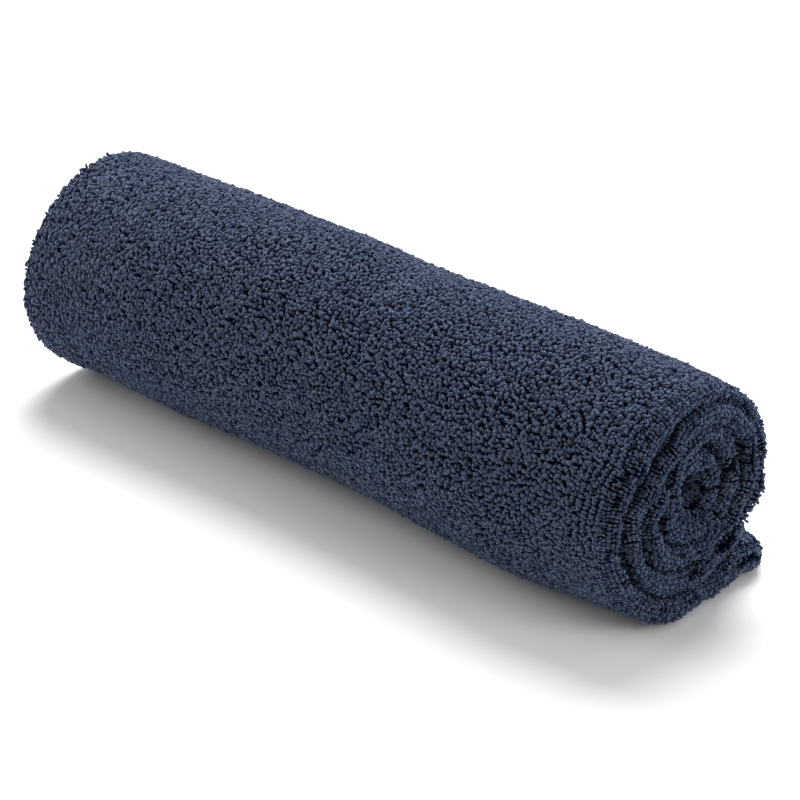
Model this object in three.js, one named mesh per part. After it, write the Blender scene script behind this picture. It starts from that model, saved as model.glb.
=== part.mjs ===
// A rolled microfiber towel: one looped terry cloth, folded in half along its length
// and rolled up from one end. It lies on its side on a surface, and its loose end lies
// flat beside it. Millimetres, +Z up, the roll along X with the folded edge at +X, the
// loose end towards +Y, and the origin under the middle of the whole on the surface.
import * as THREE from 'three';

const FULL_TURN = 2 * Math.PI;
const DEGREE = Math.PI / 180;

// The roll. Its outside is widest where the loose end leaves it, and one turn of the
// doubled cloth further in it is one pitch smaller. Near the core the turns are tighter.
const ROLL_LENGTH = 200;
const OUTER_RADIUS = 31.6;
const TURN_PITCH = 6.9;
const TIGHT_AFTER = 3.2;
const TURNS = 4;
const STEPS_PER_TURN = 56;

// How the roll sags on the surface: its axis is lower than its radius, so the
// underside is flat, and the lower half is flatter than the upper half.
const AXIS_Y = -0.7;
const AXIS_Z = 27.3;
const WIDTH_FACTOR = 1.0;
const TOP_FACTOR = 0.98;
const BOTTOM_FACTOR = 0.91;

// The loose end leaves the roll a little past its lowest point, at this angle from +Y
// towards +Z, and then runs out flat along the surface.
const LEAVE_ANGLE = -78 * DEGREE;
const LOOSE_END_REACH = 25;

// Dents and bulges of the winding around its axis, largest on the outermost turn:
// the angle from +Y towards +Z, the change of radius and how far it spreads.
const AROUND = [
  { angle: -38 * DEGREE, change: -2.6, spread: 24 * DEGREE },
  { angle: 52 * DEGREE, change: 0.9, spread: 38 * DEGREE },
  { angle: 150 * DEGREE, change: -0.5, spread: 30 * DEGREE },
  { angle: 225 * DEGREE, change: 0.9, spread: 34 * DEGREE },
];

// How the turns have settled off an even spiral: the change of radius at a turn,
// counted inwards from where the loose end leaves the roll.
const SETTLED = [
  { turn: 1.00, change: 0.0 },
  { turn: 1.20, change: -0.4 },
  { turn: 1.37, change: -2.3 },
  { turn: 1.57, change: 2.4 },
  { turn: 1.76, change: 2.8 },
  { turn: 1.93, change: 0.3 },
  { turn: 2.20, change: 0.0 },
  { turn: 2.37, change: -2.2 },
  { turn: 2.58, change: 1.6 },
  { turn: 2.76, change: 2.2 },
  { turn: 3.00, change: 0.5 },
  { turn: 3.38, change: -0.9 },
  { turn: 3.76, change: 1.2 },
  { turn: 4.20, change: 0.3 },
  { turn: 5.00, change: 0.4 },
];

// Stations from the far end to the near end, as a share of the length: the girth as a
// share of the full one, and how far the axis wanders sideways and up.
const ALONG = [
  { share: 0.00, girth: 0.975, aside: 0.0, up: 0.0 },
  { share: 0.08, girth: 0.980, aside: 0.2, up: 0.0 },
  { share: 0.20, girth: 0.988, aside: 0.4, up: 0.0 },
  { share: 0.38, girth: 0.988, aside: 1.3, up: 0.0 },
  { share: 0.52, girth: 0.973, aside: 0.6, up: 0.0 },
  { share: 0.68, girth: 1.003, aside: -0.3, up: -0.2 },
  { share: 0.80, girth: 1.030, aside: -0.7, up: -0.3 },
  { share: 0.92, girth: 0.985, aside: 0.0, up: 0.0 },
  { share: 1.00, girth: 0.970, aside: 0.0, up: -0.3 },
];
const STATIONS = 22;

// The loose end's upper side, from the crease under the roll to its edge, and the
// two plies' edges with the groove between them. "out" is a share of the reach and
// "height" is a share of the pitch.
const LOOSE_TOP = [
  { out: 0.16, height: 0.93 },
  { out: 0.36, height: 1.06 },
  { out: 0.56, height: 1.20 },
  { out: 0.74, height: 1.24 },
  { out: 0.88, height: 1.12 },
];
const LOOSE_EDGE = [
  { out: 0.96, height: 0.98 },
  { out: 0.98, height: 0.78 },
  { out: 0.88, height: 0.58 },
  { out: 1.00, height: 0.42 },
  { out: 0.99, height: 0.18 },
];
const LOOSE_UNDER = [
  { out: 0.92, height: 0 },
  { out: 0.74, height: 0 },
  { out: 0.56, height: 0 },
  { out: 0.36, height: 0 },
  { out: 0.16, height: 0 },
];

// How far the loose end's corner is drawn in at each end of the roll, and over what length.
const CORNER_DRAWN_IN = 3.2;
const CORNER_LENGTH = 14;

// The ends of the roll. "turn" is counted as above, and as a small minus number along
// the loose end. "back" is how far the crest of the cloth there lies behind the end.
const LOOSE_EDGE_TURN = -0.2;
const NEAR_END = [
  { turn: -0.2, back: 3.0 },
  { turn: 0.0, back: 1.4 },
  { turn: 0.12, back: 0.4 },
  { turn: 0.3, back: 1.2 },
  { turn: 0.6, back: 2.2 },
  { turn: 0.9, back: 1.6 },
  { turn: 1.2, back: 0.2 },
  { turn: 1.6, back: 0.0 },
  { turn: 2.1, back: 0.9 },
  { turn: 2.7, back: 1.4 },
  { turn: 3.3, back: 2.2 },
  { turn: 4.0, back: 3.0 },
  { turn: 5.0, back: 3.6 },
];
const FAR_END = [
  { turn: -0.2, back: 1.6 },
  { turn: 0.2, back: 0.8 },
  { turn: 0.7, back: 0.0 },
  { turn: 1.3, back: 1.2 },
  { turn: 2.0, back: 0.4 },
  { turn: 2.8, back: 1.6 },
  { turn: 3.5, back: 0.9 },
  { turn: 5.0, back: 2.4 },
];

// Across the doubled cloth at its ends, from its outer side to its inner side: the
// folded end is one round band, and the hemmed end is two plies with a groove between.
const FOLD_ROWS = [
  { across: 0.08, dip: 1.6 },
  { across: 0.24, dip: 0.4 },
  { across: 0.50, dip: 0.0 },
  { across: 0.76, dip: 0.4 },
  { across: 0.92, dip: 1.6 },
];
const HEM_ROWS = [
  { across: 0.10, dip: 0.7 },
  { across: 0.27, dip: 0.0 },
  { across: 0.50, dip: 1.6 },
  { across: 0.73, dip: 0.0 },
  { across: 0.90, dip: 0.7 },
];
const GROOVE_DEPTH = 3.0;
const CORE_DEPTH = 4;
const CORE_ASIDE = 0.8;

const TOWEL_COLOUR = 0x343d4c;

// Smooth value of one named column of a table at a place between its rows.
function readTable(table, placeName, valueName, place) {
  const last = table.length - 1;
  if (place <= table[0][placeName]) {
    return table[0][valueName];
  }
  if (place >= table[last][placeName]) {
    return table[last][valueName];
  }
  const next = table.findIndex((row) => row[placeName] > place);
  const low = table[next - 1];
  const high = table[next];
  const share = (place - low[placeName]) / (high[placeName] - low[placeName]);
  const eased = share * share * (3 - 2 * share);
  return low[valueName] + eased * (high[valueName] - low[valueName]);
}

// The roll's shape at one place along its length.
function stationAt(x) {
  const share = x / ROLL_LENGTH + 0.5;
  return {
    girth: readTable(ALONG, 'share', 'girth', share),
    aside: readTable(ALONG, 'share', 'aside', share),
    up: readTable(ALONG, 'share', 'up', share),
    fromEnd: Math.min(ROLL_LENGTH / 2 - Math.abs(x), CORNER_LENGTH),
  };
}

function angleBetween(first, second) {
  const turned = (first - second) / FULL_TURN;
  return (turned - Math.round(turned)) * FULL_TURN;
}

// The radius of the winding's outer side without its dents.
function evenRadius(turn) {
  if (turn <= TIGHT_AFTER) {
    return OUTER_RADIUS - TURN_PITCH * turn;
  }
  const tightRadius = OUTER_RADIUS - TURN_PITCH * TIGHT_AFTER;
  return tightRadius * Math.exp(-TURN_PITCH * (turn - TIGHT_AFTER) / tightRadius);
}

// A point of the winding's outer side. "turn" counts the turns inwards from where the
// loose end leaves: down the left side seen from +X, over the top and down the right.
function windingPoint(turn, station) {
  const angle = LEAVE_ANGLE - turn * FULL_TURN;
  const plainRadius = evenRadius(turn);
  let radius = plainRadius + readTable(SETTLED, 'turn', 'change', turn);
  for (const bump of AROUND) {
    const away = angleBetween(angle, bump.angle) / bump.spread;
    radius += bump.change * Math.exp(-away * away) * (plainRadius / OUTER_RADIUS);
  }
  radius *= station.girth;
  const upFactor = Math.sin(angle) > 0 ? TOP_FACTOR : BOTTOM_FACTOR;
  const y = AXIS_Y + station.aside + WIDTH_FACTOR * radius * Math.cos(angle);
  const z = AXIS_Z + station.up + upFactor * radius * Math.sin(angle);
  return { y, z: Math.max(z, 0) };
}

// A point of the loose end, measured out from where it leaves the roll.
function loosePoint(row, station) {
  const start = windingPoint(0, station);
  const drawn = CORNER_DRAWN_IN * (1 - station.fromEnd / CORNER_LENGTH) ** 2;
  const reach = LOOSE_END_REACH - drawn;
  return { y: start.y + row.out * reach, z: row.height * TURN_PITCH };
}

// The outline of the whole section: once around the roll, then out along the loose
// end's upper side, down its edge and back along the surface.
function sectionLoop(station) {
  const loop = [];
  for (let step = 0; step <= STEPS_PER_TURN; step += 1) {
    loop.push(windingPoint(step / STEPS_PER_TURN, station));
  }
  for (const row of [...LOOSE_TOP, ...LOOSE_EDGE, ...LOOSE_UNDER]) {
    loop.push(loosePoint(row, station));
  }
  return loop;
}

// The turn that each point of the outline lies at, for its place at the roll's ends.
function loopTurns() {
  const turns = [];
  for (let step = 0; step <= STEPS_PER_TURN; step += 1) {
    turns.push(step / STEPS_PER_TURN);
  }
  for (const row of [...LOOSE_TOP, ...LOOSE_EDGE, ...LOOSE_UNDER]) {
    turns.push(LOOSE_EDGE_TURN * row.out);
  }
  return turns;
}

class Shell {
  constructor() {
    this.points = [];
    this.faces = [];
  }

  point(x, y, z) {
    this.points.push(x, y, z);
    return this.points.length / 3 - 1;
  }

  quad(a, b, c, d, flipped) {
    if (flipped) {
      this.faces.push(a, c, b, a, d, c);
    } else {
      this.faces.push(a, b, c, a, c, d);
    }
  }

  triangle(a, b, c, flipped) {
    if (flipped) {
      this.faces.push(a, c, b);
    } else {
      this.faces.push(a, b, c);
    }
  }

  geometry() {
    const geometry = new THREE.BufferGeometry();
    geometry.setAttribute('position', new THREE.Float32BufferAttribute(this.points, 3));
    geometry.setIndex(this.faces);
    geometry.computeVertexNormals();
    return geometry;
  }
}

// The side of the roll and its loose end, as one skin along the stations. It returns
// the first and the last ring of point numbers, for the ends to join on.
function buildSide(shell) {
  const turns = loopTurns();
  const rings = [];
  for (let index = 0; index < STATIONS; index += 1) {
    const share = index / (STATIONS - 1);
    const middleX = (share - 0.5) * (ROLL_LENGTH - 2 * GROOVE_DEPTH);
    const ring = sectionLoop(stationAt(middleX)).map((place, number) => {
      const nearBack = readTable(NEAR_END, 'turn', 'back', turns[number]);
      const farBack = readTable(FAR_END, 'turn', 'back', turns[number]);
      const x = middleX - share * nearBack + (1 - share) * farBack;
      return shell.point(x, place.y, place.z);
    });
    rings.push(ring);
  }
  for (let index = 0; index < STATIONS - 1; index += 1) {
    const ring = rings[index];
    const next = rings[index + 1];
    for (let number = 0; number < ring.length; number += 1) {
      const after = (number + 1) % ring.length;
      shell.quad(ring[number], next[number], next[after], ring[after], false);
    }
  }
  return { farRing: rings[0], nearRing: rings[STATIONS - 1] };
}

// One end of the roll: the doubled cloth's end, wound from the edge of the loose end
// to the core, each turn sharing its groove with the next.
function buildEnd(shell, side, ring, endTable, rows) {
  const station = stationAt(side * ROLL_LENGTH / 2);
  const flipped = side < 0;
  const steps = (TURNS + 1) * STEPS_PER_TURN;
  const endX = (turn, dip) => {
    const back = readTable(endTable, 'turn', 'back', turn);
    return side * (ROLL_LENGTH / 2 - back - dip);
  };

  const grooves = ring.slice(0, STEPS_PER_TURN + 1);
  for (let step = STEPS_PER_TURN + 1; step <= steps; step += 1) {
    const turn = step / STEPS_PER_TURN;
    const place = windingPoint(turn, station);
    grooves.push(shell.point(endX(turn, GROOVE_DEPTH), place.y, place.z));
  }

  const column = (outerPlace, innerPlace, turn) => rows.map((row) => {
    const y = outerPlace.y + row.across * (innerPlace.y - outerPlace.y);
    const z = outerPlace.z + row.across * (innerPlace.z - outerPlace.z);
    return shell.point(endX(turn, row.dip), y, z);
  });

  const columns = [];
  const topStart = STEPS_PER_TURN + 1;
  const edgeStart = topStart + LOOSE_TOP.length;
  const underStart = edgeStart + LOOSE_EDGE.length;
  const edge = ring.slice(edgeStart, underStart).reverse();
  columns.push([ring[underStart], ...edge, ring[edgeStart - 1]]);
  for (let number = 1; number < LOOSE_TOP.length; number += 1) {
    const topRow = LOOSE_TOP[LOOSE_TOP.length - 1 - number];
    const underRow = LOOSE_UNDER[number];
    const turn = LOOSE_EDGE_TURN * topRow.out;
    const middle = column(loosePoint(underRow, station), loosePoint(topRow, station), turn);
    columns.push([ring[underStart + number], ...middle, ring[edgeStart - 1 - number]]);
  }
  for (let step = 0; step + STEPS_PER_TURN <= steps; step += 1) {
    const turn = step / STEPS_PER_TURN;
    const middle = column(windingPoint(turn, station), windingPoint(turn + 1, station), turn);
    columns.push([grooves[step], ...middle, grooves[step + STEPS_PER_TURN]]);
  }

  for (let number = 0; number < columns.length - 1; number += 1) {
    const here = columns[number];
    const next = columns[number + 1];
    for (let row = 0; row < here.length - 1; row += 1) {
      shell.quad(here[row], here[row + 1], next[row + 1], next[row], flipped);
    }
  }

  const innerStart = steps - STEPS_PER_TURN;
  const coreAngle = LEAVE_ANGLE - (TURNS + 0.25) * FULL_TURN;
  const core = shell.point(
    endX(TURNS + 1, CORE_DEPTH),
    AXIS_Y + station.aside + CORE_ASIDE * Math.cos(coreAngle),
    AXIS_Z + station.up + CORE_ASIDE * Math.sin(coreAngle),
  );
  for (let step = innerStart; step < steps; step += 1) {
    shell.triangle(core, grooves[step + 1], grooves[step], flipped);
  }
  const lastColumn = columns[columns.length - 1];
  for (let row = 0; row < lastColumn.length - 1; row += 1) {
    shell.triangle(core, lastColumn[row], lastColumn[row + 1], flipped);
  }
}

function buildTowel() {
  const shell = new Shell();
  const { farRing, nearRing } = buildSide(shell);
  buildEnd(shell, 1, nearRing, NEAR_END, FOLD_ROWS);
  buildEnd(shell, -1, farRing, FAR_END, HEM_ROWS);
  const cloth = new THREE.MeshStandardMaterial({ color: TOWEL_COLOUR, roughness: 0.95, metalness: 0 });
  const mesh = new THREE.Mesh(shell.geometry(), cloth);
  mesh.name = 'rolled_towel';
  return mesh;
}

const group = new THREE.Group();
group.add(buildTowel());

export default group;
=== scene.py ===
"""The looks of a rolled microfiber towel: a looped cloth, folded in half and rolled up, on its side.

The file is laid out as an add-on. Shapes are worked out in millimetres, in the frame's own axes: the
roll lies along X with its folded edge at +X, and its loose end lies flat towards +Y.
"""
import math

import bpy
import numpy as np
from mathutils import Matrix, Vector


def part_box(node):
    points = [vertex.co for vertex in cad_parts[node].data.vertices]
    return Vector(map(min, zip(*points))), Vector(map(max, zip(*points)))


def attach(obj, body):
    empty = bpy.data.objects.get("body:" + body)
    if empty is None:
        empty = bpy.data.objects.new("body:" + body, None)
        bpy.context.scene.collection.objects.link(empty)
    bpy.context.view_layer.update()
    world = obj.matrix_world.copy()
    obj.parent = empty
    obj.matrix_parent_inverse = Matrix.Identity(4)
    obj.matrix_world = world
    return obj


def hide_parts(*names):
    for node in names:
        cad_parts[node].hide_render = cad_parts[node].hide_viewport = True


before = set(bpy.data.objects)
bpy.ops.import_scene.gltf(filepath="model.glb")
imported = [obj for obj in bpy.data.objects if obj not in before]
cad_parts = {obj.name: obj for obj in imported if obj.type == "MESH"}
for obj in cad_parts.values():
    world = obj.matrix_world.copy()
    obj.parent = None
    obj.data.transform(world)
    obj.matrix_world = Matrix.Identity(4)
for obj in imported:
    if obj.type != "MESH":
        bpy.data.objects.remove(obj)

bl_info = {
    "name": "Rolled microfiber towel",
    "version": (1, 0, 0),
    "blender": (4, 5, 0),
    "location": "3D View > Sidebar > Towel",
    "description": "Lays a looped cloth and its pile on the frame of a rolled towel, in a plain studio",
    "category": "Object",
}

MM = 0.001
FULL_TURN = 2 * math.pi
ROLL_NODE = "rolled_towel"
FRAME_LOW, FRAME_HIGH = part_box(ROLL_NODE)


def columns(names, *rows):
    """A short table as one array for each named column."""
    return dict(zip(names.split(), np.array(rows, float).T))


# The roll's section, as the frame has it but for its fine turns. A turn counts inwards from where the
# loose end leaves the roll: along the floor, up the left side seen from +X, over the top and down the
# right. AROUND changes the radius near an angle in degrees, and SETTLED changes it turn by turn.
LEAVE_ANGLE = math.radians(-78)
TIGHT_AFTER = 3.2
LAST_TURN = 4.35
AXIS_Y = -0.7
AXIS_Z = 27.3
TOP_FACTOR = 0.98
BOTTOM_FACTOR = 0.91
AROUND = columns(
    "angle change spread",
    (-40, -1.2, 24), (52, 0.9, 38), (150, -0.5, 30), (225, 0.9, 34),
)
SETTLED = columns(
    "turn change",
    (1.00, 0.0), (1.20, 0.0), (1.30, 2.0), (1.39, -1.0), (1.58, 3.4), (1.76, 2.9), (1.93, 0.3),
    (2.05, 0.2), (2.20, 2.2), (2.30, 2.8), (2.40, -0.6), (2.58, 5.9), (2.72, 5.0), (2.84, 2.8),
    (3.00, 0.8), (3.20, 1.5), (3.40, 0.5), (3.58, 6.6), (3.76, 4.8), (4.00, 0.8), (4.20, 0.5),
    (4.58, 4.0), (4.76, 3.0), (5.00, 0.5),
)
# From the far end to the near end: the roll's girth, and how far its axis lies aside and up.
ALONG = columns(
    "share girth aside up",
    (0.00, 0.975, 0.0, 0.0), (0.08, 0.980, 0.2, 0.0), (0.20, 0.988, 0.4, 0.0),
    (0.38, 0.988, 1.3, 0.0), (0.52, 0.973, 0.6, 0.0), (0.68, 1.003, -0.3, -0.2),
    (0.80, 1.030, -0.7, -0.3), (0.92, 0.985, 0.0, 0.0), (1.00, 0.970, 0.0, -0.3),
)

# The loose end, from the crease under the roll to its edge, as shares of its reach and of the pitch.
LOOSE_EDGE_TURN = -0.2
LOOSE_TOP = columns(
    "out height",
    (0.16, 0.93), (0.36, 1.06), (0.56, 1.20), (0.74, 1.20), (0.88, 1.02), (1.00, 0.84),
)
CORNERS = columns("side drawn_in length", (-1, 3.2, 14), (1, 6.2, 19))

# How far the crest of the cloth at each end of the roll lies behind the end, turn by turn, and how far
# the folded crest sways in and out over a share of a turn.
NEAR_END = columns(
    "turn back",
    (-0.2, 3.0), (0.0, 1.2), (0.07, -0.4), (0.14, 0.3), (0.3, 1.2), (0.6, 2.2), (0.9, 1.6),
    (1.2, 0.2), (1.6, 0.0), (2.1, 0.9), (2.7, 1.4), (3.3, 2.2), (4.0, 3.0),
)
FAR_END = columns(
    "turn back",
    (-0.2, 1.6), (0.2, 0.8), (0.7, 0.0), (1.3, 1.2), (2.0, 0.4), (2.8, 1.6), (3.5, 0.9), (4.0, 1.2),
)
CREST_SWAY = 0.5
CREST_LENGTH = 0.07

# Where neighbouring turns stand apart: the gap in millimetres, and how far it spreads in turns.
APART = columns(
    "turn gap spread",
    (1.225, 1.0, 0.045), (1.742, 1.6, 0.035), (1.925, 2.0, 0.035), (2.022, 1.2, 0.030),
    (2.233, 1.0, 0.040), (2.431, 1.0, 0.040), (2.709, 1.2, 0.045), (3.283, 1.0, 0.050),
    (3.633, 1.0, 0.060),
)

# Soft troughs and ridges of the outermost turn: place along the roll and around it, how far they
# spread, and how deep they are. They and its general unevenness end RELIEF_ENDS turns in.
CREASES = columns(
    "x turn long wide deep",
    (-82, 0.09, 4.2, 0.10, 3.2), (-40, 0.30, 16, 0.05, 0.5),
    (36, 0.22, 12, 0.04, 0.5), (62, 0.40, 9, 0.05, -0.4),
)
UNEVEN = 0.28
UNEVEN_LENGTH = 26
RELIEF_ENDS = 1.3

# Each ply's middle lies PLY_SHARE of the doubled cloth off its middle. The far hem and the short edge lie
# back by HEM_INSET of half the cloth's thickness with its pile.
PLY_SHARE = 0.25
HEM_INSET = 0.6
WINDING_SAMPLES = 2000
HEM_SAMPLES = 50
THINNEST = 1e-6
SMALLEST_RADIUS = 4
AXES_STEP = 0.05

# The sheet's grid: steps round each turn, along the loose end, from each hem to the fold and round it.
STEPS_PER_TURN = 56
LOOSE_STEPS = 10
SIDE_STATIONS = 22
FOLD_STATIONS = 8
MAP_MARGIN = 1.05

# How far the lengths of the waves in a ripple vary, and how long a turn counts in one.
WAVE_SPREAD = (0.7, 1.6)
TURN_LENGTH = 170

# The pile. Its rows leave the folded edge straight, and then slant by ROW_SLANT. They are thinned out
# where the winding is CROWDED times shorter than the outer ply's.
SEED = 20
ROW_PITCH = 1.08
ROW_SLANT = -0.27
STRAIGHT_NEAR_FOLD = 14
JITTER = 0.15
WANDER = 0.3
WANDER_LENGTH = 15
EDGE_CLEAR = 0.3
RIBS_CLEAR = 0.45
CROWDED = 1.25
# A few loops sink low and so get the painted shade colour.
SUNK_SHARE = 0.05
SUNK_HEIGHT = 0.55

# The share of loops that lie along the winding and not along their row: a few anywhere, most of them
# higher up and towards the far end.
LAY_WINDING = 0.08
LAY_CHANGE = 0.75
LAY_MIXED = 0.25
LAY_LENGTH = 18
LAY_SWAY = 0.3
LAY_SPREAD = 0.3
WINDING_FROM = 0.40
WINDING_OVER = 0.12

# The pile is brushed softer towards the far end: longer and more even, with lighter painted shade low
# down on each loop and dimmer tips.
SOFT_FROM = -10
SOFT_OVER = 75
SOFT_STRETCH = 0.2
SOFT_EVEN = 0.4
SOFT_SHADE = 0.75
SOFT_DIM = 0.12

# One loop: its shape, how that, its size, height and lean vary, and how deep its foot is in the cloth.
LOOP_FLATTENED = 0.58
LOOP_RAISED = 0.5
TIP_FROM = 0.9
END_DROOP = 0.2
BLUNT = 1.3
LUMPY = 0.1
VARIED = 0.13
VARIED_RANGE = (0.65, 1.4)
SWELL = 0.08
SWELL_LENGTH = 8
LEAN = 0.25
CLUMPED = 0.33
CLUMP_LENGTH = 2.8
FOOT = 0.3
FLOOR_CLEAR = 0.03
LOOP_ON_MAP = 0.3
TINY = 1e-9

# Painted shade on low loops: a loop lower than STAND_FROM of its height is painted in the ground's
# near-black shade colour, and one STAND_OVER higher has the full colour of a loop.
STAND_FROM = 0.3
STAND_OVER = 0.55
STAND_POWER = 1.5

# Pile is made only where it can be seen: this far in from the folded edge, from the far hem and on its
# inner face, and on the outer and the inner ply up to these turns.
NEAR_DEPTH = 5.5
FAR_DEPTH = 4.6
FAR_OVERLAP = 1
INSIDE_DEPTH = 3.6
UNDER_ROLL = 1.03
UNDER_LOOSE = 0.04
SIDE_ZONES = ("far", "middle", "near")

# Ribs of loops that cross the folded edge: the rows that make them up, as angles off its crest, and how
# the ribs stand along the winding. The rows sink into the groove beside each band, where their lowered
# loops are painted darker as shade.
ROW_START = 0.5
FOLD_ROWS = range(-88, 89, 22)
RIB_PITCH = 0.84
RIB_LOOP = 1.12
RIB_WIDTH = 0.86
RIB_UNEVEN = 0.1
RIB_SWAY = 0.3
RIB_SWAY_LENGTH = 7
RIB_SWAY_ANGLE = 10
RIB_SPREAD = 2
RIB_TURNED = 0.15
RIB_LUMPY = 0.1
# A few rib loops sink low and so get the painted shade colour.
RIB_SUNK = 0.05
RIB_SUNK_HEIGHT = 0.5
RIB_HEIGHTS = (0.15, 1.3)
RIB_CROWDED = 1.3
RIB_GROUPED = 0.3
RIB_GROUP = 2.4
RIB_NEAT = 0.65
GROOVE_FROM = 35
GROOVE_LOW = 0.65
GROOVE_POWER = 1.5

# Where the pile round the folded edge is parted or pressed low by wear, with a dark pit of painted shade
# between the loops, as judged: the middle of each place, along the winding in turns and across it in
# millimetres, how far it spreads, and how far the pile is pressed low and painted with shade there.
PARTED = columns(
    "turn reach long wide worn",
    (-0.20, 0.0, 0.02, 1.2, 1.0), (-0.12, 0.2, 0.07, 0.6, 1.0), (0.04, 0.6, 0.02, 0.4, 0.8),
    (0.10, 0.4, 0.01, 0.4, 0.8), (0.16, 0.9, 0.015, 0.4, 0.8), (0.27, -1.2, 0.015, 0.5, 1.0),
    (0.27, 0.8, 0.01, 0.7, 1.0), (0.30, -2.0, 0.005, 0.5, 0.8), (0.33, -0.2, 0.01, 0.3, 0.9),
    (0.34, -1.4, 0.01, 0.6, 1.0), (0.37, -1.8, 0.01, 0.5, 0.9), (0.38, 0.6, 0.012, 0.9, 1.0),
    (0.59, 0.8, 0.03, 0.5, 1.0), (0.65, 0.4, 0.03, 0.5, 1.0), (0.93, 1.2, 0.02, 1.3, 1.0),
    (1.03, 1.0, 0.02, 0.9, 1.0), (1.22, -2.0, 0.012, 0.9, 1.0), (1.26, 0.6, 0.022, 0.8, 0.9),
    (1.47, -2.4, 0.03, 0.5, 0.9), (1.62, 0.6, 0.012, 0.7, 0.7), (1.73, 0.2, 0.026, 1.5, 1.0),
    (1.81, -0.3, 0.012, 0.7, 0.9), (2.08, 0.9, 0.01, 0.7, 0.8), (2.28, -0.9, 0.02, 0.6, 0.7),
    (2.40, -0.6, 0.02, 1.6, 0.9), (2.72, -0.1, 0.03, 1.7, 1.0), (2.74, 2.0, 0.02, 0.9, 0.8),
    (3.22, -1.3, 0.03, 0.5, 0.6), (3.66, 1.0, 0.025, 1.3, 0.9), (3.78, 1.9, 0.03, 1.2, 0.8),
    (3.95, 1.4, 0.09, 2.2, 0.8),
)
# Loops there are pushed aside, lowered and thinned out, but a few stay tall; lowered ones get painted
# shade.
PUSHED_ASIDE = 0.32
WORN_LOW_SHADED = 0.78
WORN_THIN = 0.25
SPECKLED = 0.16
SPECK_HEIGHT = 0.8

# The pile is low and painted with shade on both sides of each gap between turns, this far in from the
# folded edge.
GAP_WORN_SHADED = 0.55
GAP_FROM = 0.5
GAP_DEPTH = 10

# Fine winding slits among the ribs, where loops are lowered and partly painted with shade.
SLITS_LENGTH = 2.6
SLITS_STRETCH = 0.4
SLITS_ACROSS = 2
SLITS_WIDE = 0.2
SLITS_DEEP = 0.3

# Rows round the far hem and the short edge, as angles over it, and rows on the hem's inner face. Pointed
# tufts stand along the far hem.
EDGE_ANGLES = (45, 90, 135)
TURNED_OVER = 179.9
HEM_BACK = 0.2
HEM_PITCH = 0.85
HEM_STRETCH = 1.15
HEM_HEIGHT = 0.85
INSIDE_FROM = 0.8
TUFT_LENGTH = 2.6
TUFT_HEIGHT = 0.4
TUFTS_APART = 5
EDGE_STRETCH = 1.1
EDGE_INSIDE = 0.001

# The pile is sparser and longer where the roll lies on it.
UNDERSIDE_TURN = 0.07
UNDERSIDE_SHARE = 0.5
UNDERSIDE_STRETCH = 1.35

# Where the rows beside the folded edge stand open in pairs, with dark slits between them.
OPEN_ROWS = columns("turn spread share", (0.36, 0.12, 1.0), (0.12, 0.08, 0.6))
OPEN_DEPTH = 12
OPEN_LENGTH = 7
OPEN_ACROSS = 0.5
OPEN_EVEN = 0.65
OPEN_UNEVEN = 0.5
OPEN_SHIFT = 0.38
OPEN_STEADY = 0.7
OPEN_NEAT = 0.8
OPEN_SHORTER = 0.15

# How a loop grows paler with its height, as painted shade down its lower sides, and varies by its own
# tone, in mottles and in patches, and how fine each pattern is.
LIT_POWER = 3
LIT = 1.04
LIT_FROM = 0.16
TONE_SHARE = 0.2
MOTTLED_SHARE = 0.6
PATCH_SHARE = 0.3
PATCH_SCALE = 55.0
FIBRE_SCALE = 2600.0
MOTTLED_SCALE = 3400.0
GRAIN_SCALE = 900.0
GRAIN_SHARE = 0.03

# The sockets for colours on a Mix node.
MIX_FIRST, MIX_SECOND, MIX_RESULT = 6, 7, 2

# The studio, in metres: each light's size and place, the floor, and what the camera takes in.
LIGHTS = {
    "key": (1.2, (-0.6, 0.8, 1.15)), "fill": (0.9, (-1.0, -0.7, 0.8)), "end": (0.7, (1.3, 0.1, 0.8)),
}
FLOOR_SIDE = 8
FLOOR_DROP = 0.3 * MM
SENSOR_WIDTH = 36
VIEW_CLIP = (0.05, 20)


def smooth_read(table, place, value, at):
    """One named column of a table, eased between its rows."""
    places, values = table[place], table[value]
    at = np.clip(at, places[0], places[-1])
    low = np.clip(np.searchsorted(places, at, side="right") - 1, 0, len(places) - 2)
    share = (at - places[low]) / (places[low + 1] - places[low])
    return values[low] + share * share * (3 - 2 * share) * (values[low + 1] - values[low])


def ripple(across, along, length, seed, waves=7):
    """Smooth unevenness over two measures, mostly from -1 to 1, as crossing waves of about one length."""
    draw = np.random.default_rng(seed)
    total = 0.0
    for _ in range(waves):
        heading, start = draw.uniform(0, FULL_TURN, 2)
        wave = length * draw.uniform(*WAVE_SPREAD)
        total = total + np.sin(
            FULL_TURN * (across * math.cos(heading) + along * math.sin(heading)) / wave + start
        )
    return total / math.sqrt(2 * waves)


def unit(vectors):
    return vectors / np.linalg.norm(vectors, axis=-1, keepdims=True)


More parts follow.
